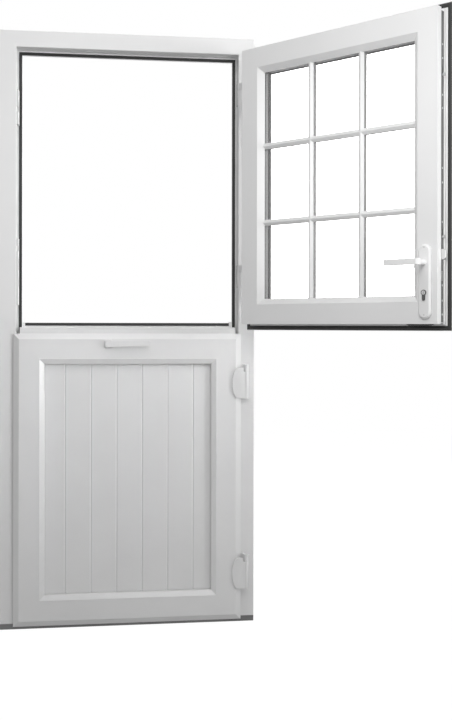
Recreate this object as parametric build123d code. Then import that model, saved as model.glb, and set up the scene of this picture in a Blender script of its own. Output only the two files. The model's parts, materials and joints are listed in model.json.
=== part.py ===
from build123d import *
import math
import os

# Stable door in its frame. Units are millimetres, +Z is up, +X is the hinge side, -Y is the room.
# Origin: centre of the underside of the threshold.

os.makedirs("parts", exist_ok=True)

# Frame: width and height over all, depth, visible face, and face with the stop behind it
FRAME_W = 900.0
FRAME_H = 2100.0
FRAME_D = 70.0
FACE = 57.0
STOP = 73.0
THRESHOLD_H = 20.0
STOP_Y = 19.0
HALF_W = FRAME_W / 2
WALL_X = HALF_W - FACE
STOP_X = HALF_W - STOP
FRONT_Y = -FRAME_D / 2
GROOVE_Y = (-9.0, -3.0)
GROOVE_D = 3.0
FOOT_Z = -300.0

# Leaves: the flange laps over the frame, the body behind it enters the frame
LAP = 9.0
LIP = 21.0
MEET = 13.0
FLANGE_HALF = WALL_X + LAP
BODY_HALF = FLANGE_HALF - LIP
LOW_Z0 = 11.0
LOW_Z1 = 1037.0
UP_Z0 = LOW_Z1 + MEET
UP_Z1 = FRAME_H - 51.0
LEAF_FRONT = -55.0
LEAF_BACK = 16.0
FLANGE_BACK = -39.0
BEAD_U = 88.0
SIGHT_U = BEAD_U + 20.0
GLASS_U = BEAD_U + 4.0
OUTER_SEAT_Y = -3.0
BEAD_SEAT_Y = -32.0
EDGE_X = -BODY_HALF
BODY_TOP = UP_Z1 - LIP

# Hinges
AXIS_X = FLANGE_HALF + 18.0
AXIS_Y = -58.0
KNUCKLE_R = 7.5
PIN_R = 4.0
OPEN_ANGLE = 132.0
HINGES_LOW = (LOW_Z0 + 113.0, LOW_Z1 - 232.0)
HINGES_UP = (UP_Z0 + 113.0, UP_Z1 - 229.0)
FLAG_H = 110.0
LEAF_KNUCKLE = 95.0
HINGE_H = FLAG_H + 11.0

# Lock of the upper leaf
BACKSET = 40.0
LOCK_X = EDGE_X + BACKSET
LOCK_Y = -15.0
LEVER_Z = UP_Z0 + 208.0
CYL_Z = LEVER_Z - 92.0
CYL_TAIL = 19.5
LATCH_Z0 = LEVER_Z + 8.0
LATCH_Z1 = LATCH_Z0 + 32.0
BOLT_Z0 = LEVER_Z - 56.0
BOLT_Z1 = BOLT_Z0 + 30.0
CAM_Z = (LEVER_Z + 77.0, UP_Z1 - 224.0)
CASE_Z = (LEVER_Z - 126.0, LEVER_Z + 80.0)
STRIP_TRAVEL = 20.0
STRIP_Z = (CAM_Z[0] - 23.0, CAM_Z[1] + 140.0)
HUB_R = 7.0

# Bolt of the lower leaf
KNOB_X = -72.0
KNOB_Z = LOW_Z1 - 36.0
ROD_R = 5.0

# Meeting rail on the lower leaf
LEAF_TOP = LOW_Z1 - LIP
RAIL_Z = LEAF_TOP + 43.0
RAIL_HALF = BODY_HALF - 15.0

# Clearances: running fit, seating gap, and the stop's gap to what swings past it
RUN = 0.05
SEAT = 0.3
SWING = 2.5


def box(x0, x1, y0, y1, z0, z1):
    return Pos((x0 + x1) / 2, (y0 + y1) / 2, (z0 + z1) / 2) * Box(x1 - x0, y1 - y0, z1 - z0)


def rod_x(r, x0, x1, y, z):
    return Pos((x0 + x1) / 2, y, z) * (Rot(0, 90, 0) * Cylinder(r, x1 - x0))


def rod_y(r, y0, y1, x, z):
    return Pos(x, (y0 + y1) / 2, z) * (Rot(90, 0, 0) * Cylinder(r, y1 - y0))


def rod_z(r, z0, z1, x, y):
    return Pos(x, y, (z0 + z1) / 2) * Cylinder(r, z1 - z0)


def outline(points):
    return Face(Wire.make_polygon([Vector(*p) for p in points], close=True))


def prism_x(points, x0, x1):
    face = outline([(x0, y, z) for y, z in points])
    return Solid.extrude(face, Vector(x1 - x0, 0, 0))


def prism_y(points, y0, y1):
    face = outline([(x, y0, z) for x, z in points])
    return Solid.extrude(face, Vector(0, y1 - y0, 0))


def prism_z(points, z0, z1):
    face = outline([(x, y, z0) for x, y in points])
    return Solid.extrude(face, Vector(0, 0, z1 - z0))


def corners(u, y, half, z0, z1):
    return [
        Vector(-half + u, y, z0 + u),
        Vector(half - u, y, z0 + u),
        Vector(half - u, y, z1 - u),
        Vector(-half + u, y, z1 - u),
    ]


def quads(loops, i, j):
    faces = []
    for near, far in zip(loops, loops[1:] + loops[:1]):
        points = [near[i], near[j], far[j], far[i]]
        faces.append(Face(Wire.make_polygon(points, close=True)))
    return faces


def ring(section, half, z0, z1):
    # One mitred ring: section is a list of (inset from the outer edge, y).
    loops = [corners(u, y, half, z0, z1) for u, y in section]
    faces = []
    for i in range(4):
        faces += quads(loops, i, (i + 1) % 4)
    return Solid(Shell(faces))


def sides(section, half, z0, z1):
    # The same ring as four separate mitred lengths.
    loops = [corners(u, y, half, z0, z1) for u, y in section]
    lengths = []
    for i in range(4):
        j = (i + 1) % 4
        faces = quads(loops, i, j)
        faces.append(Face(Wire.make_polygon([p[i] for p in loops], close=True)))
        faces.append(Face(Wire.make_polygon([p[j] for p in loops], close=True)))
        lengths.append(Solid(Shell(faces)))
    return lengths


def chamber(u0, u1, y0, y1, half, z0, z1):
    # The hollow of a ring, as four boxes that run into one another at the corners.
    wide = half - u0
    return [
        box(-wide, wide, y0, y1, z0 + u0, z0 + u1),
        box(-wide, wide, y0, y1, z1 - u1, z1 - u0),
        box(-half + u0, -half + u1, y0, y1, z0 + u0, z1 - u0),
        box(half - u1, half - u0, y0, y1, z0 + u0, z1 - u0),
    ]


def solids_of(shapes):
    found = []
    for shape in shapes:
        found += list(shape.solids())
    return found


def swung(shape):
    # Turns a piece of the upper leaf from its closed place to the place of the photo.
    return Pos(AXIS_X, AXIS_Y, 0) * Rot(0, 0, OPEN_ANGLE) * Pos(-AXIS_X, -AXIS_Y, 0) * shape


def save(name, shapes):
    if not isinstance(shapes, list):
        shapes = [shapes]
    export_step(Compound(children=solids_of(shapes)), os.path.join("parts", name + ".step"))


def save_up(name, shapes):
    if not isinstance(shapes, list):
        shapes = [shapes]
    save(name, [swung(s) for s in solids_of(shapes)])


def cut(shape, tools):
    for tool in tools:
        shape = shape - tool
    return shape


# Screws, as the solid and as the hole it needs

def csk_x(x, y, z, way, grow=0.0):
    # Countersunk screw with its head flush at x, shank running to +x or -x.
    head = Pos(x + way * 1.25, y, z) * (Rot(0, 90 * way, 0) * Cone(4.0 + grow, 2.0 + grow, 2.5))
    shank = rod_x(2.0 + grow, min(x + way * 2.4, x + way * 15), max(x + way * 2.4, x + way * 15), y, z)
    return head + shank


FRAME_FIX_Z = (300.0, 1000.0, 1500.0, FRAME_H - 150.0)
FRAME_FIX_Y = 11.5
FIX_R = 4.0
CAP_R = 7.0
KEEP_Z = [LEVER_Z - 108, LEVER_Z - 10, LEVER_Z + 64, CAM_Z[1] - 44, CAM_Z[1] + 63]
KEEP_SCREWS = [(-WALL_X + 7, 3.0, z) for z in KEEP_Z]
BOLT_KEEP_SCREWS = [(-WALL_X + 3, LOCK_Y, z) for z in (KNOB_Z - 20, KNOB_Z + 20)]
HINGE_SCREW_Z = (50.0, 75.0, 110.0)


def frame_screws(grow=0.0):
    screws = [csk_x(x, y, z, -1, grow) for x, y, z in KEEP_SCREWS + BOLT_KEEP_SCREWS]
    for z0 in HINGES_LOW + HINGES_UP:
        for dz in HINGE_SCREW_Z:
            screws.append(csk_x(WALL_X - 3.0, -21.0, z0 + dz, 1, grow))
    return screws


def fixing_holes():
    holes = []
    for z in FRAME_FIX_Z:
        holes.append(rod_x(FIX_R, -HALF_W - 1, -WALL_X + 1, FRAME_FIX_Y, z))
        holes.append(rod_x(FIX_R, WALL_X - 1, HALF_W + 1, FRAME_FIX_Y, z))
        holes.append(rod_x(CAP_R, -WALL_X - 2.5, -WALL_X + 1, FRAME_FIX_Y, z))
        holes.append(rod_x(CAP_R, WALL_X - 1, WALL_X + 2.5, FRAME_FIX_Y, z))
    return holes


FRAME_SECTION = [
    (0, FRONT_Y), (FACE - 1.5, FRONT_Y), (FACE, FRONT_Y + 1.5),
    (FACE, GROOVE_Y[0]), (FACE - GROOVE_D, GROOVE_Y[0]), (FACE - GROOVE_D, GROOVE_Y[1]), (FACE, GROOVE_Y[1]),
    (FACE, STOP_Y), (STOP - 10, STOP_Y), (STOP - 10, STOP_Y + 2.5), (STOP - 6, STOP_Y + 2.5),
    (STOP - 6, STOP_Y), (STOP, STOP_Y), (STOP, STOP_Y + 10), (STOP - 13, -FRONT_Y), (0, -FRONT_Y),
]
CHAMBER_IN = FACE - 16.0
CHAMBER_OUT = 12.0
CHAMBER_DEEP = -FRONT_Y - 13.0
POCKET_Y = (LOCK_Y - 7.0, LOCK_Y + 7.0)
POCKET_Z = (KNOB_Z - 8.0, KNOB_Z + 8.0)


def below(z):
    # Everything under the height z, used to trim the frame's pieces at the threshold.
    return box(-HALF_W - 50, HALF_W + 50, -60, 60, FOOT_Z - 100, z)


def frame_profile():
    # Two jambs and a head, mitred and welded; the chamber runs through the mitres.
    tools = chamber(CHAMBER_OUT, CHAMBER_IN, -CHAMBER_DEEP, CHAMBER_DEEP, HALF_W, FOOT_Z, FRAME_H)
    tools.append(below(THRESHOLD_H))
    # Pockets behind the keeps for the deadbolt and for the lower leaf's bolt
    tools.append(box(-WALL_X - 10, -WALL_X + 1, LOCK_Y - 6.5, LOCK_Y + 6.5, BOLT_Z0 - 3, BOLT_Z1 + 3))
    tools.append(box(-WALL_X - 14, -WALL_X + 1, *POCKET_Y, *POCKET_Z))
    lengths = sides(FRAME_SECTION, HALF_W, FOOT_Z, FRAME_H)[1:]
    return [cut(length, tools + fixing_holes() + frame_screws(RUN)) for length in lengths]


def tube_x(x0, x1, y0, y1, z0, z1, wall):
    return box(x0, x1, y0, y1, z0, z1) - box(x0 - 1, x1 + 1, y0 + wall, y1 - wall, z0 + wall, z1 - wall)


def tube_z(x0, x1, y0, y1, z0, z1, wall):
    return box(x0, x1, y0, y1, z0, z1) - box(x0 + wall, x1 - wall, y0 + wall, y1 - wall, z0 - 1, z1 + 1)


def frame_reinforcement():
    near = HALF_W - CHAMBER_IN + SEAT
    far = HALF_W - CHAMBER_OUT - SEAT
    top = FRAME_H - CHAMBER_OUT - SEAT
    deep = CHAMBER_DEEP - SEAT
    head = tube_x(-near + 2, near - 2, -deep, deep, FRAME_H - CHAMBER_IN + SEAT, top, 2)
    left = tube_z(-far, -near, -deep, deep, THRESHOLD_H + SEAT, top, 2)
    right = tube_z(near, far, -deep, deep, THRESHOLD_H + SEAT, top, 2)
    return [head, cut(left, fixing_holes()), cut(right, fixing_holes())]


def fixing_caps():
    caps = []
    for z in FRAME_FIX_Z:
        caps.append(rod_x(CAP_R - RUN, -WALL_X - 2, -WALL_X, FRAME_FIX_Y, z))
        caps.append(rod_x(CAP_R - RUN, WALL_X, WALL_X + 2, FRAME_FIX_Y, z))
    return caps


def threshold():
    base = box(-HALF_W, HALF_W, FRONT_Y, -FRONT_Y, 0, THRESHOLD_H)
    points = [(STOP_Y, THRESHOLD_H - 1), (-FRONT_Y, THRESHOLD_H - 1), (-FRONT_Y, THRESHOLD_H + 10)]
    points += [(-FRONT_Y - 6, THRESHOLD_H + 15), (STOP_Y, THRESHOLD_H + 15)]
    bar = prism_x(points, -STOP_X + 0.5, STOP_X - 0.5)
    long = HALF_W + 10
    cells = [box(-long, long, FRONT_Y + 4, -2, 3, 16.5), box(-long, long, 1, -FRONT_Y - 4, 3, 16.5)]
    return cut(base + bar, cells)


def frame_gasket():
    section = [(STOP - 11, 16.3), (STOP - 0.2, 16.3), (STOP - 0.2, 17.5), (STOP - 3, STOP_Y)]
    section += [(STOP - 6.2, STOP_Y), (STOP - 6.2, STOP_Y + 2.2), (STOP - 9.8, STOP_Y + 2.2)]
    section += [(STOP - 9.8, STOP_Y), (STOP - 11, 18)]
    return ring(section, HALF_W, FOOT_Z, FRAME_H) - below(THRESHOLD_H + 16)


def threshold_gasket():
    z = THRESHOLD_H
    points = [(STOP_Y, z + 4), (16.6, z + 5), (16.3, z + 9), (16.6, z + 14), (STOP_Y, z + 15)]
    return prism_x(points, -STOP_X + 1, STOP_X - 1)


def keep_block(z0, z1):
    points = [(-WALL_X, -30), (-WALL_X + 5, -30), (-WALL_X + 7, -28), (-WALL_X + 7, 7), (-WALL_X + 6, 8)]
    return prism_z(points + [(-WALL_X, 8)], z0, z1)


def cam_slot(z):
    # Open to the room at the foot, where the cam enters; closed by the front lip above.
    x0, x1 = -WALL_X - 2, -WALL_X + 13
    entry = box(x0, x1, -32, LOCK_Y + 6, z - 9, z + 9)
    lock = box(x0, x1, LOCK_Y - 6, LOCK_Y + 6, z + 5, z + STRIP_TRAVEL + 9)
    return entry + lock


def centre_keep():
    body = keep_block(LEVER_Z - 121, LEVER_Z + 113)
    x0, x1 = -WALL_X - 2, -WALL_X + 13
    tools = [
        box(x0, x1, LOCK_Y - 7.5, LOCK_Y + 12, LATCH_Z0 - 4, LATCH_Z1 + 4),
        box(x0, x1, LOCK_Y - 6.5, LOCK_Y + 6.5, BOLT_Z0 - 3, BOLT_Z1 + 3),
        cam_slot(CAM_Z[0]),
    ]
    return cut(body, tools + frame_screws(RUN))


def upper_keep():
    body = keep_block(CAM_Z[1] - 52, CAM_Z[1] + 71)
    return cut(body, [cam_slot(CAM_Z[1])] + frame_screws(RUN))


def lower_bolt_keep():
    plate = box(-WALL_X, -WALL_X + 3, LOCK_Y - 12, LOCK_Y + 12, KNOB_Z - 26, KNOB_Z + 26)
    return cut(plate, [box(-WALL_X - 3, -WALL_X + 5, *POCKET_Y, *POCKET_Z)] + frame_screws(RUN))


# Hinges

def hinge_base(z0):
    plate = box(WALL_X - 3, WALL_X, -34, -8, z0 + 40, z0 + HINGE_H)
    zone = (z0 + LEAF_KNUCKLE + 0.5, z0 + HINGE_H)
    strap = box(WALL_X - 3, AXIS_X - 4, -38.2, FRONT_Y - 0.2, *zone)
    root = box(WALL_X - 3, WALL_X, -38.2, -33, *zone)
    x0, x1 = AXIS_X - 11.5, AXIS_X - 4
    neck = prism_z([(x0, -38), (x1, -38), (x1 + 2, AXIS_Y), (x1 - 2, AXIS_Y), (x0, -46)], *zone)
    knuckle = rod_z(KNUCKLE_R, *zone, AXIS_X, AXIS_Y)
    bore = rod_z(PIN_R, z0 - 1, z0 + HINGE_H - 3, AXIS_X, AXIS_Y)
    return cut(plate + root + strap + neck + knuckle, [bore] + frame_screws(RUN))


def hinge_pin(z0):
    return rod_z(PIN_R, z0 + 4, z0 + HINGE_H - 3, AXIS_X, AXIS_Y)


def flag_outline():
    points = []
    for i in range(13):
        a = math.radians(90 + 15 * i)
        points.append((AXIS_X - 30 + 22 * math.cos(a), FLAG_H / 2 * math.sin(a)))
    return points


def hinge_flag(z0):
    mid = z0 + FLAG_H / 2
    points = [(x, mid + dz) for x, dz in flag_outline()]
    points += [(AXIS_X - 11.5, mid - FLAG_H / 2), (AXIS_X - 11.5, mid + FLAG_H / 2)]
    plate = prism_y(points, LEAF_FRONT - 9, LEAF_FRONT)
    tail = box(AXIS_X - 16, AXIS_X - 4, LEAF_FRONT - 9, LEAF_FRONT, z0, z0 + LEAF_KNUCKLE)
    knuckle = rod_z(KNUCKLE_R, z0, z0 + LEAF_KNUCKLE, AXIS_X, AXIS_Y)
    clear = rod_z(KNUCKLE_R + 0.8, z0 + LEAF_KNUCKLE, z0 + HINGE_H + 1, AXIS_X, AXIS_Y)
    bore = rod_z(PIN_R + RUN, z0 + 3, z0 + LEAF_KNUCKLE + 1, AXIS_X, AXIS_Y)
    return cut(plate + tail + knuckle, [clear, bore])


# Leaves

LEAF_SECTION = [
    (0, FLANGE_BACK), (0, -43), (20, LEAF_FRONT), (BEAD_U, LEAF_FRONT), (BEAD_U, -50), (BEAD_U - 2, -50),
    (BEAD_U - 2, -45), (BEAD_U, -45), (BEAD_U, OUTER_SEAT_Y), (SIGHT_U, OUTER_SEAT_Y), (SIGHT_U, 0),
    (BEAD_U + 1, LEAF_BACK),
    (LIP, LEAF_BACK), (LIP, -7), (LIP + 3, -7), (LIP + 3, -23), (LIP, -23), (LIP, FLANGE_BACK),
]
CHAMBER_U = (BEAD_U - 42.0, BEAD_U - 4.0)
CHAMBER_Y = (FLANGE_BACK + 1.0, LEAF_BACK - 8.0)


def leaf_lengths(z0, z1):
    # Four mitred and welded lengths; the chamber runs through the mitres.
    hollow = chamber(*CHAMBER_U, *CHAMBER_Y, FLANGE_HALF, z0, z1)
    return [cut(length, hollow) for length in sides(LEAF_SECTION, FLANGE_HALF, z0, z1)]


def leaf_tubes(z0, z1):
    x0 = FLANGE_HALF - CHAMBER_U[1] + SEAT
    x1 = FLANGE_HALF - CHAMBER_U[0] - SEAT
    y0 = CHAMBER_Y[0] + SEAT
    y1 = CHAMBER_Y[1] - SEAT
    low = z0 + CHAMBER_U[0] + SEAT
    high = z1 - CHAMBER_U[0] - SEAT
    wide = FLANGE_HALF - CHAMBER_U[0] - SEAT
    deep = CHAMBER_U[1] - CHAMBER_U[0] - 2 * SEAT
    return [
        tube_z(-x1, -x0, y0, y1, low + deep + 2, high - deep - 2, 2),
        tube_z(x0, x1, y0, y1, low + deep + 2, high - deep - 2, 2),
        tube_x(-wide, wide, y0, y1, low, low + deep, 2),
        tube_x(-wide, wide, y0, y1, high - deep, high, 2),
    ]


def bead_lengths(z0, z1):
    section = [
        (BEAD_U + 0.1, BEAD_SEAT_Y), (BEAD_U + 0.1, -45.2), (BEAD_U - 1.7, -45.2), (BEAD_U - 1.7, -49.8),
        (BEAD_U + 0.1, -49.8), (BEAD_U + 0.1, LEAF_FRONT), (BEAD_U + 2.5, LEAF_FRONT), (SIGHT_U - 2, -46.5),
        (SIGHT_U, -44), (SIGHT_U, BEAD_SEAT_Y),
    ]
    return sides(section, FLANGE_HALF, z0, z1)


def outer_gasket(z0, z1):
    section = [(SIGHT_U - 10, OUTER_SEAT_Y), (SIGHT_U - 10, -5), (SIGHT_U - 1.5, -5)]
    return ring(section + [(SIGHT_U - 2.5, OUTER_SEAT_Y)], FLANGE_HALF, z0, z1)


def bead_gasket(z0, z1, inner=SIGHT_U + 1):
    outer = SIGHT_U - 11
    section = [(outer, -29), (outer, BEAD_SEAT_Y), (inner, BEAD_SEAT_Y), (inner - 1.5, -29)]
    return ring(section, FLANGE_HALF, z0, z1)


def flange_gasket(z0, z1):
    section = [(3, FLANGE_BACK), (20, FLANGE_BACK), (18, -36.6), (11.5, -35.4), (5, -36.6)]
    body = ring(section, FLANGE_HALF, z0, z1)
    for h in HINGES_LOW + HINGES_UP:
        body = body - box(BODY_HALF - 1, AXIS_X, -40, -30, h + LEAF_KNUCKLE - 1, h + HINGE_H + 2)
    return body


def packers(z0, z1, y0, y1):
    half = FLANGE_HALF
    blocks = []
    for x in (-220, 180):
        blocks.append(box(x, x + 60, y0, y1, z0 + BEAD_U, z0 + GLASS_U))
        blocks.append(box(x, x + 60, y0, y1, z1 - GLASS_U, z1 - BEAD_U))
    for z in (z0 + 160, z1 - 220):
        blocks.append(box(-half + BEAD_U, -half + GLASS_U, y0, y1, z, z + 60))
        blocks.append(box(half - GLASS_U, half - BEAD_U, y0, y1, z, z + 60))
    return blocks


def sheet(z0, z1, y0, y1):
    return box(-FLANGE_HALF + GLASS_U, FLANGE_HALF - GLASS_U, y0, y1, z0 + GLASS_U, z1 - GLASS_U)


# Upper leaf: lock pieces

def euro(grow, y0, y1):
    body = rod_y(8.5 + grow, y0, y1, LOCK_X, CYL_Z)
    tail = box(LOCK_X - 5 - grow, LOCK_X + 5 + grow, y0, y1, CYL_Z - CYL_TAIL, CYL_Z)
    return body + tail + rod_y(5 + grow, y0, y1, LOCK_X, CYL_Z - CYL_TAIL)


HANDLE_SCREW_Z = (LEVER_Z + 45.0, LEVER_Z - 160.0)


def handle_cuts(grow):
    tools = [rod_y(2.5 + grow, -70, 30, LOCK_X, z) for z in HANDLE_SCREW_Z]
    return tools


def case_pocket(grow=0.0):
    x0, x1 = EDGE_X + 5 - grow, LOCK_X + 18 + grow
    y0, y1 = LOCK_Y - 7.5 - grow, LOCK_Y + 7.5 + grow
    return box(x0, x1, y0, y1, CASE_Z[0] - grow, CASE_Z[1] + grow)


def strip_groove(grow=RUN):
    top = STRIP_Z[1] + STRIP_TRAVEL + 5
    return box(EDGE_X + 2.5, EDGE_X + 5.2, LOCK_Y - 4 - grow, LOCK_Y + 4 + grow, STRIP_Z[0] - 3, top)


def sash_cuts():
    mouth = box(EDGE_X + 1, EDGE_X + 11, LOCK_Y - 7.8, LOCK_Y + 7.8, CASE_Z[0] - SEAT, CASE_Z[1] + SEAT)
    tools = [
        case_pocket(SEAT) + mouth,
        strip_groove(),
        rod_y(9.5, -60, 20, LOCK_X, LEVER_Z),
        euro(0.5, -60, 20),
    ]
    return tools + handle_cuts(0.2)


def upper_sash():
    return [cut(length, sash_cuts()) for length in leaf_lengths(UP_Z0, UP_Z1)]


def upper_reinforcement():
    return [cut(t, sash_cuts()) for t in leaf_tubes(UP_Z0, UP_Z1)]


GRID_X = (-(FLANGE_HALF - 105) / 3, (FLANGE_HALF - 105) / 3)
SIGHT_Z = (UP_Z0 + SIGHT_U, UP_Z1 - SIGHT_U)
GRID_Z = [SIGHT_Z[0] + share * (SIGHT_Z[1] - SIGHT_Z[0]) for share in (0.336, 0.6743)]


def spacer_grid():
    u0, u1 = SIGHT_U - 10, SIGHT_U - 1
    body = ring([(u0, -25), (u1, -25), (u1, -9), (u0, -9)], FLANGE_HALF, UP_Z0, UP_Z1)
    for x in GRID_X:
        body = body + box(x - 9, x + 9, -24.5, -9.5, SIGHT_Z[0] - 2, SIGHT_Z[1] + 2)
    for z in GRID_Z:
        wide = FLANGE_HALF - SIGHT_U + 2
        body = body + box(-wide, wide, -24.5, -9.5, z - 9, z + 9)
    return body


def glazing_bars():
    # Roof-shaped bars laid on the outer pane; their ends follow the slope round the glass.
    body = None
    lift = [(-10.5, -5), (-10.5, -3.5), (-1.5, 3), (1.5, 3), (10.5, -3.5), (10.5, -5)]
    for z in GRID_Z:
        wide = FLANGE_HALF - SIGHT_U + 8
        bar = prism_x([(y, z + d) for d, y in lift], -wide, wide)
        body = bar if body is None else body + bar
    for x in GRID_X:
        body = body + prism_z([(x + d, y) for d, y in lift], SIGHT_Z[0] - 8, SIGHT_Z[1] + 8)
    u = SIGHT_U + 0.3
    end = [(u - 28, -6), (u, -6), (u, 0.3), (u - 12.8, 11.3), (u - 28, 11.3)]
    return body - ring(end, FLANGE_HALF, UP_Z0, UP_Z1)


def lock_faceplate():
    plate = box(EDGE_X, EDGE_X + 3, LOCK_Y - 8, LOCK_Y + 8, UP_Z0 + 26, BODY_TOP - 10)
    x0, x1 = EDGE_X - 4, EDGE_X + 6
    tools = [
        box(x0, x1, LOCK_Y - 6.2, LOCK_Y + 6.2, LATCH_Z0 - 0.3, LATCH_Z1 + 0.3),
        box(x0, x1, LOCK_Y - 5.2, LOCK_Y + 5.2, BOLT_Z0 - 0.3, BOLT_Z1 + 0.3),
    ]
    for z in CAM_Z:
        tools.append(box(x0, x1, LOCK_Y - 3.1, LOCK_Y + 3.1, z - 3.2, z + STRIP_TRAVEL + 3.2))
    return cut(plate, tools)


def lock_case():
    body = case_pocket() + box(EDGE_X + 3, EDGE_X + 11, LOCK_Y - 7.5, LOCK_Y + 7.5, *CASE_Z)
    latch_y = (LOCK_Y - 6 - RUN, LOCK_Y + 6 + RUN)
    bolt_y = (LOCK_Y - 5 - RUN, LOCK_Y + 5 + RUN)
    tools = [
        box(EDGE_X + 1, EDGE_X + 36, *latch_y, LATCH_Z0 - RUN, LATCH_Z1 + RUN),
        box(EDGE_X + 1, EDGE_X + 39, *bolt_y, BOLT_Z0 - RUN, BOLT_Z1 + RUN),
        strip_groove(),
        rod_y(HUB_R, -30, 0, LOCK_X, LEVER_Z),
        rod_y(16, -20.3, -9.7, LOCK_X, CYL_Z),
        euro(0.1, -30, 0),
    ]
    return cut(body, tools + handle_cuts(0.1))


def latch():
    # Sloped on the side that meets the keep when the leaf is pushed shut, and rounded off at its nose.
    tip = EDGE_X - 10.5
    y0, y1 = LOCK_Y - 6, LOCK_Y + 6
    points = [(tip, y0), (tip, y0 + 3), (tip + 9, y1), (EDGE_X + 21, y1), (EDGE_X + 21, y0)]
    body = prism_z(points, LATCH_Z0, LATCH_Z1)
    nose = [(tip, LATCH_Z0 + 6), (tip + 5, LATCH_Z0), (EDGE_X + 22, LATCH_Z0), (EDGE_X + 22, LATCH_Z1)]
    nose += [(tip + 5, LATCH_Z1), (tip + 1.5, LATCH_Z1 - 2), (tip, LATCH_Z1 - 6)]
    return body & prism_y(nose, y0 - 1, y1 + 1)


def deadbolt():
    return box(EDGE_X + 0.4, EDGE_X + 35, LOCK_Y - 5, LOCK_Y + 5, BOLT_Z0, BOLT_Z1)


def drive_strip():
    body = box(EDGE_X + 3, EDGE_X + 5, LOCK_Y - 4, LOCK_Y + 4, *STRIP_Z)
    for z in CAM_Z:
        body = body + rod_x(3.0, EDGE_X - 3, EDGE_X + 4, LOCK_Y, z)
        body = body + rod_x(5.5, EDGE_X - 7, EDGE_X - 3, LOCK_Y, z)
    return body


def plate_points(half, z0, z1):
    points = []
    for i in range(9):
        a = math.radians(22.5 * i)
        points.append((LOCK_X + half * math.cos(a), z1 - half + half * math.sin(a)))
    for i in range(9):
        a = math.radians(180 + 22.5 * i)
        points.append((LOCK_X + half * math.cos(a), z0 + half + half * math.sin(a)))
    return points


def backplate(y_leaf, y_face):
    way = 1 if y_face > y_leaf else -1
    z0, z1 = LEVER_Z - 173, LEVER_Z + 55
    base = outline([(x, y_leaf, z) for x, z in plate_points(22, z0, z1)])
    lower = Solid.extrude(base, Vector(0, y_face - way * 6 - y_leaf, 0))
    wide = outline([(x, y_face - way * 6, z) for x, z in plate_points(22, z0, z1)])
    slim = outline([(x, y_face, z) for x, z in plate_points(16, z0 + 6, z1 - 6)])
    cap = Solid.make_loft([wide.outer_wire(), slim.outer_wire()], ruled=True)
    y0, y1 = min(y_leaf, y_face) - 1, max(y_leaf, y_face) + 1
    tools = [rod_y(9 + RUN, y0, y1, LOCK_X, LEVER_Z), euro(0.2, y0, y1)]
    tools += [rod_y(2.5 + 0.1, y0, y1, LOCK_X, z) for z in HANDLE_SCREW_Z]
    return cut(lower + cap, tools)


def lever(y_leaf, way):
    # Neck out of the backplate, then the arm towards the middle of the leaf.
    def at(d):
        return y_leaf + way * d
    hub = rod_y(9, min(at(0.5), at(52)), max(at(0.5), at(52)), LOCK_X, LEVER_Z)
    end = LOCK_X + 110
    points = [(LOCK_X - 10, at(46)), (LOCK_X - 10, at(58)), (LOCK_X - 3, at(65)), (end - 5, at(65))]
    points += [(end, at(62)), (end, at(53)), (end - 5, at(50)), (LOCK_X + 15, at(50)), (LOCK_X + 10, at(46))]
    arm = prism_z(points, LEVER_Z - 9.5, LEVER_Z + 9.5)
    arm = arm + hub
    socket = box(LOCK_X - 4, LOCK_X + 4, min(at(0), at(15)), max(at(0), at(15)), LEVER_Z - 4, LEVER_Z + 4)
    return arm - socket


def spindle():
    return box(LOCK_X - 4, LOCK_X + 4, LEAF_FRONT - 14.5, LEAF_BACK + 14.5, LEVER_Z - 4, LEVER_Z + 4)


def cylinder_body():
    y0, y1 = -68.0, 29.0
    body = euro(0, y0, y1)
    gap = rod_y(15.5, -20.3, -9.7, LOCK_X, CYL_Z)
    return cut(body, [rod_y(6.3, y0 - 1, y1 + 1, LOCK_X, CYL_Z), gap])


def cylinder_plug():
    barrel = rod_y(6.3 - RUN, -68, 29, LOCK_X, CYL_Z)
    cam = box(LOCK_X - 4, LOCK_X + 4, -20, -10, CYL_Z, CYL_Z + 14.5)
    key_a = box(LOCK_X - 1, LOCK_X + 1, -69, -50, CYL_Z - 4.5, CYL_Z + 4.5)
    key_b = box(LOCK_X - 1, LOCK_X + 1, 11, 30, CYL_Z - 4.5, CYL_Z + 4.5)
    return cut(barrel + cam, [key_a, key_b])


def handle_screws():
    screws = []
    for z in HANDLE_SCREW_Z:
        screws.append(rod_y(2.5, -64.8, LEAF_BACK + 8, LOCK_X, z))
    return screws


def run_up_block():
    z = UP_Z0 + LIP
    x0, x1 = EDGE_X + 29, EDGE_X + 123
    points = [(x0, z + 3), (x1, z + 3), (x1, z + 1), (x1 - 12, z - 5), (x0 + 12, z - 5), (x0, z + 1)]
    return prism_y(points, -22.8, -7.2)


# Lower leaf pieces

def gearbox_pocket(grow=0.0):
    x0, x1 = KNOB_X - 28 - grow, KNOB_X + 26 + grow
    return box(x0, x1, LOCK_Y - 13 - grow, LOCK_Y + 13 + grow, KNOB_Z - 9.3 - grow, LEAF_TOP + 1)


def lower_cuts():
    return [
        gearbox_pocket(SEAT),
        rod_x(ROD_R + RUN, EDGE_X - 4, KNOB_X - 23, LOCK_Y, KNOB_Z),
        rod_y(6.5, -60, -20, KNOB_X, KNOB_Z),
    ]


def lower_sash():
    return [cut(length, lower_cuts()) for length in leaf_lengths(LOW_Z0, LOW_Z1)]


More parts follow.
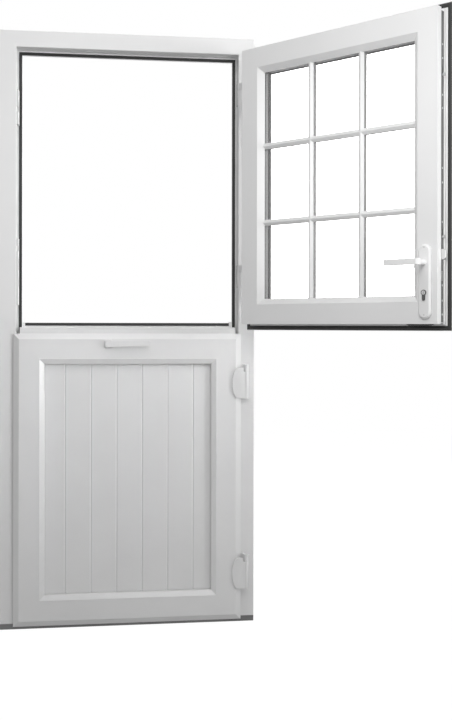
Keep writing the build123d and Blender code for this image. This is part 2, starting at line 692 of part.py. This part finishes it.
def door_panel():
    # Grooves at the board joints, on both faces.
    x0 = -FLANGE_HALF + GLASS_U
    pitch = FLANGE_HALF * 0.22575
    joints = [x0 + 86 + pitch * i for i in range(6)]
    front = [(x0, -29)]
    for x in joints:
        front += [(x - 3, -29), (x, -26), (x + 3, -29)]
    front += [(-x0, -29)]
    back = [(-x0, -5)]
    for x in reversed(joints):
        back += [(x + 3, -5), (x, -8), (x - 3, -5)]
    back += [(x0, -5)]
    return prism_z(front + back, LOW_Z0 + GLASS_U, LOW_Z1 - GLASS_U)


def rail_section():
    return [
        (FRONT_Y, LEAF_TOP), (LEAF_BACK, LEAF_TOP), (LEAF_BACK, LEAF_TOP + 16), (30, LEAF_TOP + 16),
        (35, LEAF_TOP + 14), (35, RAIL_Z + 9), (29, RAIL_Z + 16), (STOP_Y, RAIL_Z + 16), (STOP_Y, RAIL_Z),
        (FRONT_Y + 1.5, RAIL_Z), (FRONT_Y, RAIL_Z - 1.5),
    ]


def meeting_rail():
    body = prism_x(rail_section(), -RAIL_HALF, RAIL_HALF)
    long = RAIL_HALF + 4
    cells = [
        box(-long, long, -32, -6, LEAF_TOP + 3, RAIL_Z - 3),
        box(-long, long, -3, 14, LEAF_TOP + 3, RAIL_Z - 3),
    ]
    return cut(body, cells)


def rail_end_caps():
    caps = []
    for way in (-1, 1):
        a, b = sorted((way * RAIL_HALF, way * BODY_HALF))
        c, d = sorted((way * RAIL_HALF, way * (STOP_X - SWING)))
        lower = box(a, b, FRONT_Y, LEAF_BACK, LEAF_TOP, RAIL_Z)
        post = box(c, d, LEAF_BACK - 1, 34, LEAF_TOP + 18, RAIL_Z)
        tall = box(c, d, LEAF_BACK + 0.4, 34, RAIL_Z - 1, RAIL_Z + 20)
        caps.append(lower + post + tall)
    return caps


def rail_gasket():
    z = RAIL_Z
    points = [(STOP_Y, z + 5.5), (16.6, z + 6), (16.3, z + 11), (16.6, z + 15.5), (STOP_Y, z + 16)]
    return prism_x(points, -RAIL_HALF + SEAT, RAIL_HALF - SEAT)


def lower_flange_gasket():
    # Its top run is left out, because the rail stands there.
    return flange_gasket(LOW_Z0, LOW_Z1) - box(-AXIS_X, AXIS_X, -45, -30, LEAF_TOP, LOW_Z1 + 3)


def handle_base():
    block = box(KNOB_X - 14, KNOB_X + 14, -63, LEAF_FRONT, KNOB_Z - 15, KNOB_Z + 15)
    block = chamfer(block.edges().filter_by(Axis.Y), 4)
    face = block.faces().sort_by(Axis.Y)[0]
    block = chamfer(face.edges(), 2)
    return block - rod_y(5 + RUN, -66, -50, KNOB_X, KNOB_Z)


def lower_lever():
    hub = rod_y(9, -79, -63.5, KNOB_X, KNOB_Z)
    end = KNOB_X + 148
    points = [(KNOB_X, KNOB_Z + 10.5), (KNOB_X, KNOB_Z - 10.5), (end - 6, KNOB_Z - 8), (end, KNOB_Z - 4)]
    arm = prism_y(points + [(end, KNOB_Z + 6), (end - 6, KNOB_Z + 10)], -80, -70)
    stem = rod_y(5, -65, -29, KNOB_X, KNOB_Z)
    square = rod_y(4, -30, -4, KNOB_X, KNOB_Z)
    return hub + rod_y(11, -80, -70, KNOB_X, KNOB_Z) + arm + stem + square


def bolt_gearbox():
    body = gearbox_pocket() - box(KNOB_X - 40, KNOB_X + 40, -40, 10, LEAF_TOP - SEAT, LEAF_TOP + 5)
    tools = [
        rod_x(ROD_R + RUN, KNOB_X - 33, KNOB_X - 6.5, LOCK_Y, KNOB_Z),
        rod_y(4 + RUN, -28.9, -3.9, KNOB_X, KNOB_Z),
        rod_y(6.5, -29, -27.8, KNOB_X, KNOB_Z),
    ]
    return cut(body, tools)


def bolt_rod():
    return rod_x(ROD_R, EDGE_X + 1, KNOB_X - 8, LOCK_Y, KNOB_Z)


def write_frame():
    save("frame_profile", frame_profile())
    save("frame_reinforcement", frame_reinforcement())
    save("threshold", threshold())
    save("frame_gasket", frame_gasket())
    save("threshold_gasket", threshold_gasket())
    save("centre_keep", centre_keep())
    save("upper_keep", upper_keep())
    save("lower_bolt_keep", lower_bolt_keep())
    save("frame_screws", frame_screws())
    save("fixing_caps", fixing_caps())
    save("hinge_bases_lower", [hinge_base(z) for z in HINGES_LOW])
    save("hinge_bases_upper", [hinge_base(z) for z in HINGES_UP])
    save("hinge_pins", [hinge_pin(z) for z in HINGES_LOW + HINGES_UP])


def write_upper():
    save_up("upper_sash", upper_sash())
    save_up("upper_reinforcement", upper_reinforcement())
    save_up("upper_beads", bead_lengths(UP_Z0, UP_Z1))
    save_up("outer_pane", sheet(UP_Z0, UP_Z1, -9, -5))
    save_up("inner_pane", sheet(UP_Z0, UP_Z1, -29, -25))
    save_up("spacer_grid", spacer_grid())
    save_up("glazing_bars", glazing_bars())
    save_up("upper_glass_gasket", outer_gasket(UP_Z0, UP_Z1))
    save_up("upper_bead_gasket", bead_gasket(UP_Z0, UP_Z1))
    save_up("upper_packers", packers(UP_Z0, UP_Z1, -28, -6))
    save_up("upper_flange_gasket", flange_gasket(UP_Z0, UP_Z1))
    save_up("lock_faceplate", lock_faceplate())
    save_up("lock_case", lock_case())
    save_up("latch", latch())
    save_up("deadbolt", deadbolt())
    save_up("drive_strip", drive_strip())
    save_up("backplate_outside", backplate(LEAF_BACK, LEAF_BACK + 10))
    save_up("backplate_inside", backplate(LEAF_FRONT, LEAF_FRONT - 10))
    save_up("lever_outside", lever(LEAF_BACK, 1))
    save_up("lever_inside", lever(LEAF_FRONT, -1))
    save_up("spindle", spindle())
    save_up("cylinder_body", cylinder_body())
    save_up("cylinder_plug", cylinder_plug())
    save_up("handle_screws", handle_screws())
    save_up("hinge_flags_upper", [hinge_flag(z) for z in HINGES_UP])
    save_up("run_up_block", run_up_block())


def write_lower():
    save("lower_sash", lower_sash())
    save("lower_reinforcement", leaf_tubes(LOW_Z0, LOW_Z1))
    save("lower_beads", bead_lengths(LOW_Z0, LOW_Z1))
    save("door_panel", door_panel())
    save("lower_panel_gasket", outer_gasket(LOW_Z0, LOW_Z1))
    save("lower_bead_gasket", bead_gasket(LOW_Z0, LOW_Z1, SIGHT_U - 1))
    save("lower_packers", packers(LOW_Z0, LOW_Z1, -28, -6))
    save("meeting_rail", meeting_rail())
    save("rail_end_caps", rail_end_caps())
    save("rail_gasket", rail_gasket())
    save("lower_flange_gasket", lower_flange_gasket())
    save("handle_base", handle_base())
    save("lower_lever", lower_lever())
    save("bolt_gearbox", bolt_gearbox())
    save("bolt_rod", bolt_rod())
    save("hinge_flags_lower", [hinge_flag(z) for z in HINGES_LOW])


write_frame()
write_upper()
write_lower()
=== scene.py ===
import json
import math

import bmesh
import bpy
from mathutils import Matrix, Vector


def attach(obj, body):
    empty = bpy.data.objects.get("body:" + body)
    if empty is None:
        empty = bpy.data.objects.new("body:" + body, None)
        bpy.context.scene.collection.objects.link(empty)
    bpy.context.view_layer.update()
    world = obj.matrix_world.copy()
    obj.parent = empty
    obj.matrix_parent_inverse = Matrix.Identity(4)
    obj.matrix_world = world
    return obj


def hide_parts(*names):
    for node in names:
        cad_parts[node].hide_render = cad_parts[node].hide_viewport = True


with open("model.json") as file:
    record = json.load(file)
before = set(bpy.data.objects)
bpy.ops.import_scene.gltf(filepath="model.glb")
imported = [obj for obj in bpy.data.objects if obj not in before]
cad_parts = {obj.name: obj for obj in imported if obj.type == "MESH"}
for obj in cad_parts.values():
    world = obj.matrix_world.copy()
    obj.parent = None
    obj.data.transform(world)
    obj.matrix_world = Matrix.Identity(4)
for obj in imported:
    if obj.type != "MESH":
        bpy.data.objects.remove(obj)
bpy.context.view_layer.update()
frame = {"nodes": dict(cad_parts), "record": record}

NODES = frame["nodes"]
MM = 0.001

# The hinge axis, and the turn from the closed upper leaf to its place at rest
AXIS = Vector((0.420, -0.058, 0.0))
OPEN_ANGLE = math.radians(132)
OPEN = (
    Matrix.Translation(AXIS)
    @ Matrix.Rotation(OPEN_ANGLE, 4, "Z")
    @ Matrix.Translation(-AXIS)
)

# Camera, fitted to the photograph
CAMERA_AT = (-0.1033, -3.5346, 1.0636)
CAMERA_YAW = math.radians(-7.36)
CAMERA_ROLL = 0.0015
CAMERA_LENS = 48.98
SENSOR_WIDTH = 36.0
HORIZON_PX = 326.2
IMAGE_H = 720.0


# Materials

BROAD_SCALE = 6.0
GRAIN_HEIGHT = 0.0004
RAMP = (0.3, 0.7)


def new_material(name):
    mat = bpy.data.materials.new(name)
    mat.use_nodes = True
    nodes = mat.node_tree.nodes
    shader = nodes["Principled BSDF"]
    return mat, nodes, mat.node_tree.links, shader


def noise(nodes, links, scale, detail=3.0, stretch=(1, 1, 1)):
    coords = nodes.new("ShaderNodeTexCoord")
    mapping = nodes.new("ShaderNodeMapping")
    mapping.inputs["Scale"].default_value = stretch
    tex = nodes.new("ShaderNodeTexNoise")
    tex.inputs["Scale"].default_value = scale
    tex.inputs["Detail"].default_value = detail
    links.new(coords.outputs["Object"], mapping.inputs["Vector"])
    links.new(mapping.outputs["Vector"], tex.inputs["Vector"])
    return tex


def vary(nodes, links, tex, low, high, socket):
    ramp = nodes.new("ShaderNodeValToRGB")
    for element, position, colour in zip(ramp.color_ramp.elements, RAMP, (low, high)):
        element.position = position
        element.color = (*colour, 1)
    links.new(tex.outputs["Fac"], ramp.inputs["Fac"])
    links.new(ramp.outputs["Color"], socket)


def vary_number(nodes, links, tex, low, high, socket):
    spread = nodes.new("ShaderNodeMapRange")
    spread.inputs["To Min"].default_value = low
    spread.inputs["To Max"].default_value = high
    links.new(tex.outputs["Fac"], spread.inputs["Value"])
    links.new(spread.outputs["Result"], socket)


def bump(nodes, links, tex, strength, distance, shader):
    node = nodes.new("ShaderNodeBump")
    node.inputs["Strength"].default_value = strength
    node.inputs["Distance"].default_value = distance
    links.new(tex.outputs["Fac"], node.inputs["Height"])
    links.new(node.outputs["Normal"], shader.inputs["Normal"])


def surface(name, low, high, rough, metallic=0.0, grain=90.0, depth=0.15, stretch=(1, 1, 1)):
    # Greys from low to high over broad patches, with a fine grain in roughness and bump.
    mat, nodes, links, shader = new_material(name)
    shader.inputs["Metallic"].default_value = metallic
    broad = noise(nodes, links, BROAD_SCALE)
    fine = noise(nodes, links, grain, 4.0, stretch)
    vary(nodes, links, broad, (low, low, low), (high, high, high), shader.inputs["Base Color"])
    vary_number(nodes, links, fine, rough[0], rough[1], shader.inputs["Roughness"])
    bump(nodes, links, fine, depth, GRAIN_HEIGHT, shader)
    return mat


WHITE = surface("white_plastic", 0.82, 0.84, (0.3, 0.36), grain=320.0, depth=0.05)
BOARD = surface("white_board", 0.80, 0.825, (0.34, 0.4), grain=260.0, depth=0.06)
ENAMEL = surface("white_enamel", 0.80, 0.84, (0.2, 0.28), grain=300.0, depth=0.04)
SEAL = surface("black_rubber", 0.012, 0.022, (0.5, 0.62), grain=500.0, depth=0.2)
STEEL = surface("bright_steel", 0.55, 0.62, (0.28, 0.4), 1.0, 120.0, 0.1, (1, 1, 8))
KEEP = surface("keep_metal", 0.58, 0.64, (0.32, 0.42), 0.35, 200.0, 0.08)
# Dark grey for the lock's steel faceplate: painted shade, darker than the steel's own colour
SHADED_PLATE = surface("plate_steel_painted_shade", 0.17, 0.2, (0.42, 0.5), 0.5, 220.0, 0.08)
SILL = surface("sill_metal", 0.13, 0.17, (0.38, 0.5), 0.5, 160.0, 0.15, (0.1, 1, 1))
SATIN = surface("satin_nickel", 0.55, 0.62, (0.3, 0.4), 1.0, 200.0, 0.05)
BARREL = surface("dark_nickel", 0.09, 0.12, (0.3, 0.4), 0.8, 200.0, 0.05)
SPACER = surface("spacer_grey", 0.17, 0.2, (0.35, 0.45), grain=200.0, depth=0.05)
BLACK = surface("black_plastic", 0.02, 0.03, (0.4, 0.5), grain=300.0, depth=0.1)


def glass():
    mat, nodes, links, shader = new_material("clear_glass")
    shader.inputs["Base Color"].default_value = (1, 1, 1, 1)
    shader.inputs["Transmission Weight"].default_value = 1.0
    shader.inputs["IOR"].default_value = 1.45
    wave = noise(nodes, links, 3.0)
    vary_number(nodes, links, wave, 0.0, 0.01, shader.inputs["Roughness"])
    bump(nodes, links, wave, 0.02, 0.0003, shader)
    # Shadow and diffuse rays pass straight through, so that the pane casts no heavy shadow
    path = nodes.new("ShaderNodeLightPath")
    clear = nodes.new("ShaderNodeBsdfTransparent")
    mix = nodes.new("ShaderNodeMixShader")
    either = nodes.new("ShaderNodeMath")
    either.operation = "MAXIMUM"
    links.new(path.outputs["Is Shadow Ray"], either.inputs[0])
    links.new(path.outputs["Is Diffuse Ray"], either.inputs[1])
    links.new(either.outputs[0], mix.inputs["Fac"])
    links.new(shader.outputs["BSDF"], mix.inputs[1])
    links.new(clear.outputs["BSDF"], mix.inputs[2])
    links.new(mix.outputs["Shader"], nodes["Material Output"].inputs["Surface"])
    return mat


GLASS = glass()

FINISH = {
    WHITE: [
        "frame_profile", "fixing_caps", "upper_sash", "upper_beads", "glazing_bars",
        "lower_sash", "lower_beads", "meeting_rail", "rail_end_caps",
    ],
    BOARD: ["door_panel"],
    SEAL: [
        "frame_gasket", "threshold_gasket", "upper_glass_gasket", "upper_bead_gasket",
        "upper_flange_gasket", "lower_panel_gasket", "lower_bead_gasket", "rail_gasket",
        "lower_flange_gasket",
    ],
    STEEL: [
        "frame_reinforcement", "upper_reinforcement", "lower_reinforcement", "frame_screws",
        "handle_screws", "hinge_pins", "spindle", "bolt_rod", "lock_case", "drive_strip",
        "latch", "deadbolt", "bolt_gearbox",
    ],
    KEEP: ["centre_keep", "upper_keep", "lower_bolt_keep"],
    SHADED_PLATE: ["lock_faceplate"],
    SILL: ["threshold"],
    ENAMEL: [
        "hinge_bases_lower", "hinge_bases_upper", "hinge_flags_upper", "hinge_flags_lower",
        "backplate_outside", "backplate_inside", "lever_outside", "lever_inside",
        "handle_base", "lower_lever",
    ],
    SATIN: ["cylinder_plug"],
    BARREL: ["cylinder_body"],
    SPACER: ["spacer_grid"],
    BLACK: ["upper_packers", "lower_packers", "run_up_block"],
    GLASS: ["outer_pane", "inner_pane"],
}
FINISH_OF = {node: mat for mat, names in FINISH.items() for node in names}
BODY = {
    node: body
    for body, names in frame["record"]["behaviour"]["bodies"].items()
    for node in names
}

for node, obj in NODES.items():
    for slot in obj.material_slots:
        slot.material = FINISH_OF.get(node, WHITE)


# Pieces

# Widths and segments of the rounded edges. Edges from ROUND_FROM up are shaded as
# round; thinner ones stay flat, because smooth shading draws dark bands beside them.
ROUND_FROM = 0.0015
SHARP_ANGLE = math.radians(25)
MERGE_DISTANCE = 1e-6
FLAT_ANGLE = 0.01
SOFT = {
    "lever_outside": (0.0045, 4), "lever_inside": (0.0045, 4), "lower_lever": (0.0012, 2),
    "hinge_flags_lower": (0.0025, 3), "hinge_flags_upper": (0.0025, 3),
    "handle_base": (0.001, 2), "upper_beads": (0.0006, 2), "lower_beads": (0.0006, 2),
    "glazing_bars": (0.0005, 2), "meeting_rail": (0.0008, 2), "rail_end_caps": (0.0012, 2),
    "threshold": (0.0006, 2), "door_panel": (0.0006, 2), "latch": (0.0006, 2),
}


def place(name, mesh, body, mat):
    obj = bpy.data.objects.new(name, mesh)
    bpy.context.scene.collection.objects.link(obj)
    mesh.materials.clear()
    mesh.materials.append(mat)
    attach(obj, body)
    return obj


def soften(node, width, segments):
    # The CAD solid with its sharp edges rounded.
    bm = bmesh.new()
    bm.from_mesh(NODES[node].data)
    bmesh.ops.remove_doubles(bm, verts=bm.verts, dist=MERGE_DISTANCE)
    bmesh.ops.dissolve_limit(bm, angle_limit=FLAT_ANGLE, verts=bm.verts, edges=bm.edges)
    mesh = bpy.data.meshes.new(node + "_soft")
    bm.to_mesh(mesh)
    bm.free()
    obj = place(node + "_soft", mesh, BODY[node], FINISH_OF.get(node, WHITE))
    edge = obj.modifiers.new("edge", "BEVEL")
    edge.width = width
    edge.segments = segments
    edge.limit_method = "ANGLE"
    edge.angle_limit = SHARP_ANGLE
    rounded = width >= ROUND_FROM
    edge.harden_normals = rounded
    for poly in mesh.polygons:
        poly.use_smooth = rounded
    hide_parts(node)


for node, (width, segments) in SOFT.items():
    soften(node, width, segments)


# Pieces of the upper leaf, given closed and in millimetres: u runs inward from the rim,
# and y is the depth

UP_Z = (1050.0, 2049.0)
HALF = 402.0
EDGE = -381.0
STRAPS = ((1257.0, 1286.0), (1914.0, 1943.0))
FACEPLATE_Y = -15.0
SEAL_SECTION = [
    (1.5, -39), (15.5, -39), (15, -37.4), (12, -36.4), (9, -35.4), (5, -36), (2, -37.2),
]
# Section of the black strip of painted shade over the beads' sight face
BEAD_SHADE_SECTION = [(107, -32.1), (109, -32.1), (109.4, -36), (108.6, -41), (107, -41)]
SCREW_PROFILE = [(3.4, 0.1), (3.4, -0.25), (2.6, -0.6), (1.3, -0.7), (1.0, -0.2), (0.01, -0.1)]
SCREW_SIDES = 16
SCREW_Z = (1100, 1142, 1188, 1380, 1499, 1543, 1724, 1764, 1875, 1917)
CORNERS = ((1, True), (-1, True), (-1, False), (1, False))


def corner(section, side, top):
    z = [UP_Z[1] - u if top else UP_Z[0] + u for u, y in section]
    return [(side * (HALF - u), y, h) for (u, y), h in zip(section, z)]


def level(section, side, z):
    return [(side * (HALF - u), y, z) for u, y in section]


def tube(bm, stations, closed=False):
    # Skins the stations in their order; the ends are capped unless it closes on itself.
    loops = [[bm.verts.new(OPEN @ (Vector(p) * MM)) for p in station] for station in stations]
    count = len(loops[0])
    pairs = list(zip(loops, loops[1:]))
    if closed:
        pairs.append((loops[-1], loops[0]))
    for a, b in pairs:
        for k in range(count):
            n = (k + 1) % count
            bm.faces.new((a[k], a[n], b[n], b[k]))
    if not closed:
        bm.faces.new(loops[0][::-1])
        bm.faces.new(loops[-1])


def leaf_piece(name, draw, mat, smooth=False):
    bm = bmesh.new()
    draw(bm)
    bmesh.ops.recalc_face_normals(bm, faces=bm.faces)
    mesh = bpy.data.meshes.new(name)
    bm.to_mesh(mesh)
    bm.free()
    for poly in mesh.polygons:
        poly.use_smooth = smooth
    return place(name, mesh, "upper_leaf", mat)


def draw_flange_seal(bm):
    # Round the rim, open where the hinge straps pass.
    below, above = STRAPS
    run = [level(SEAL_SECTION, 1, above[1])]
    run += [corner(SEAL_SECTION, side, top) for side, top in CORNERS]
    run.append(level(SEAL_SECTION, 1, below[0]))
    tube(bm, run)
    tube(bm, [level(SEAL_SECTION, 1, below[1]), level(SEAL_SECTION, 1, above[0])])


def draw_bead_shade(bm):
    # A black strip along the room-side beads, laid over their sight face as painted shade.
    tube(bm, [corner(BEAD_SHADE_SECTION, side, top) for side, top in CORNERS], True)


def draw_screws(bm):
    # Low domed heads with a recess, on the lock's faceplate.
    turn = [2 * math.pi * k / SCREW_SIDES for k in range(SCREW_SIDES)]
    for z in SCREW_Z:
        tube(bm, [
            [(EDGE + x, FACEPLATE_Y + r * math.cos(a), z + r * math.sin(a)) for a in turn]
            for r, x in SCREW_PROFILE
        ])


seal = leaf_piece("upper_flange_seal", draw_flange_seal, SEAL)
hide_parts("upper_flange_gasket")
# Black strip of painted shade over the room-side beads' sight face
leaf_piece("upper_bead_shade", draw_bead_shade, SEAL)
leaf_piece("faceplate_screws", draw_screws, STEEL, True)


# Studio

WORLD_LIGHT = 0.35
WORLD_SHOWN = 1.0
FLOOR_HALF = 6.0
FLOOR_GREY = 0.5
FLOOR_ROUGHNESS = 0.9
FLOOR_GLOW = 1.17
FLOOR_SHARE = 0.82

# Name, place, aim, size in metres, power in watts, and spread in degrees
LIGHTS = [
    ("key", (0.45, -1.6, 1.8), (0.4, 0.0, 1.5), (0.7, 0.7), 7.8, 180),
    ("top", (0.1, -1.7, 3.5), (0.1, 0.0, 1.0), (1.6, 1.2), 16, 180),
    ("side", (5.35, -3.85, 1.5), (0.0, 0.0, 1.45), (1.5, 1.5), 5.2, 25),
    ("back", (1.8, 4.2, 2.2), (0.0, 0.0, 1.1), (2.2, 2.2), 70, 180),
    ("back_side", (3.8, 1.4, 2.0), (0.4, 0.0, 1.2), (1.8, 1.8), 28, 180),
]


def light(name, at, aim, size, power, spread):
    data = bpy.data.lights.new(name, "AREA")
    data.shape = "RECTANGLE"
    data.size, data.size_y = size
    data.energy = power
    data.spread = math.radians(spread)
    obj = bpy.data.objects.new(name, data)
    bpy.context.scene.collection.objects.link(obj)
    obj.location = at
    obj.rotation_euler = (Vector(aim) - Vector(at)).to_track_quat("-Z", "Y").to_euler()
    obj.visible_camera = False


def seen_rays(nodes, links):
    # 1 for camera, glossy and transmission rays.
    path = nodes.new("ShaderNodeLightPath")
    first = nodes.new("ShaderNodeMath")
    first.operation = "MAXIMUM"
    second = nodes.new("ShaderNodeMath")
    second.operation = "MAXIMUM"
    links.new(path.outputs["Is Camera Ray"], first.inputs[0])
    links.new(path.outputs["Is Glossy Ray"], first.inputs[1])
    links.new(first.outputs[0], second.inputs[0])
    links.new(path.outputs["Is Transmission Ray"], second.inputs[1])
    return second.outputs[0]


def studio_world():
    # Lights the scene at one strength, and shows as plain white.
    world = bpy.data.worlds.new("studio")
    bpy.context.scene.world = world
    world.use_nodes = True
    nodes, links = world.node_tree.nodes, world.node_tree.links
    base = nodes["Background"]
    base.inputs["Color"].default_value = (1, 1, 1, 1)
    base.inputs["Strength"].default_value = WORLD_LIGHT
    shown = nodes.new("ShaderNodeBackground")
    shown.inputs["Color"].default_value = (1, 1, 1, 1)
    shown.inputs["Strength"].default_value = WORLD_SHOWN
    mix = nodes.new("ShaderNodeMixShader")
    links.new(seen_rays(nodes, links), mix.inputs["Fac"])
    links.new(base.outputs["Background"], mix.inputs[1])
    links.new(shown.outputs["Background"], mix.inputs[2])
    links.new(mix.outputs["Shader"], nodes["World Output"].inputs["Surface"])


def studio_floor():
    # Shows as white through its glow, and keeps a share of its own shading for the shadow.
    half = FLOOR_HALF
    mesh = bpy.data.meshes.new("floor")
    verts = [(-half, -half, 0), (half, -half, 0), (half, half, 0), (-half, half, 0)]
    mesh.from_pydata(verts, [], [(0, 1, 2, 3)])
    floor = bpy.data.objects.new("floor", mesh)
    bpy.context.scene.collection.objects.link(floor)
    mat, nodes, links, shader = new_material("floor")
    shader.inputs["Base Color"].default_value = (FLOOR_GREY, FLOOR_GREY, FLOOR_GREY, 1)
    shader.inputs["Roughness"].default_value = FLOOR_ROUGHNESS
    glow = nodes.new("ShaderNodeEmission")
    glow.inputs["Strength"].default_value = FLOOR_GLOW
    share = nodes.new("ShaderNodeMath")
    share.operation = "MULTIPLY"
    share.inputs[1].default_value = FLOOR_SHARE
    links.new(seen_rays(nodes, links), share.inputs[0])
    mix = nodes.new("ShaderNodeMixShader")
    links.new(share.outputs[0], mix.inputs["Fac"])
    links.new(shader.outputs["BSDF"], mix.inputs[1])
    links.new(glow.outputs["Emission"], mix.inputs[2])
    links.new(mix.outputs["Shader"], nodes["Material Output"].inputs["Surface"])
    mesh.materials.append(mat)


def studio_camera():
    data = bpy.data.cameras.new("camera")
    data.lens = CAMERA_LENS
    data.sensor_width = SENSOR_WIDTH
    data.sensor_fit = "AUTO"
    data.shift_y = (HORIZON_PX - IMAGE_H / 2) / IMAGE_H
    obj = bpy.data.objects.new("camera", data)
    bpy.context.scene.collection.objects.link(obj)
    turn = Matrix.Rotation(CAMERA_YAW, 4, "Z") @ Matrix.Rotation(math.radians(90), 4, "X")
    roll = Matrix.Rotation(CAMERA_ROLL, 4, "Z")
    obj.matrix_world = Matrix.Translation(CAMERA_AT) @ turn @ roll
    bpy.context.scene.camera = obj


studio_world()
studio_floor()
for row in LIGHTS:
    light(*row)
studio_camera()
bpy.context.scene.view_settings.view_transform = "Standard"
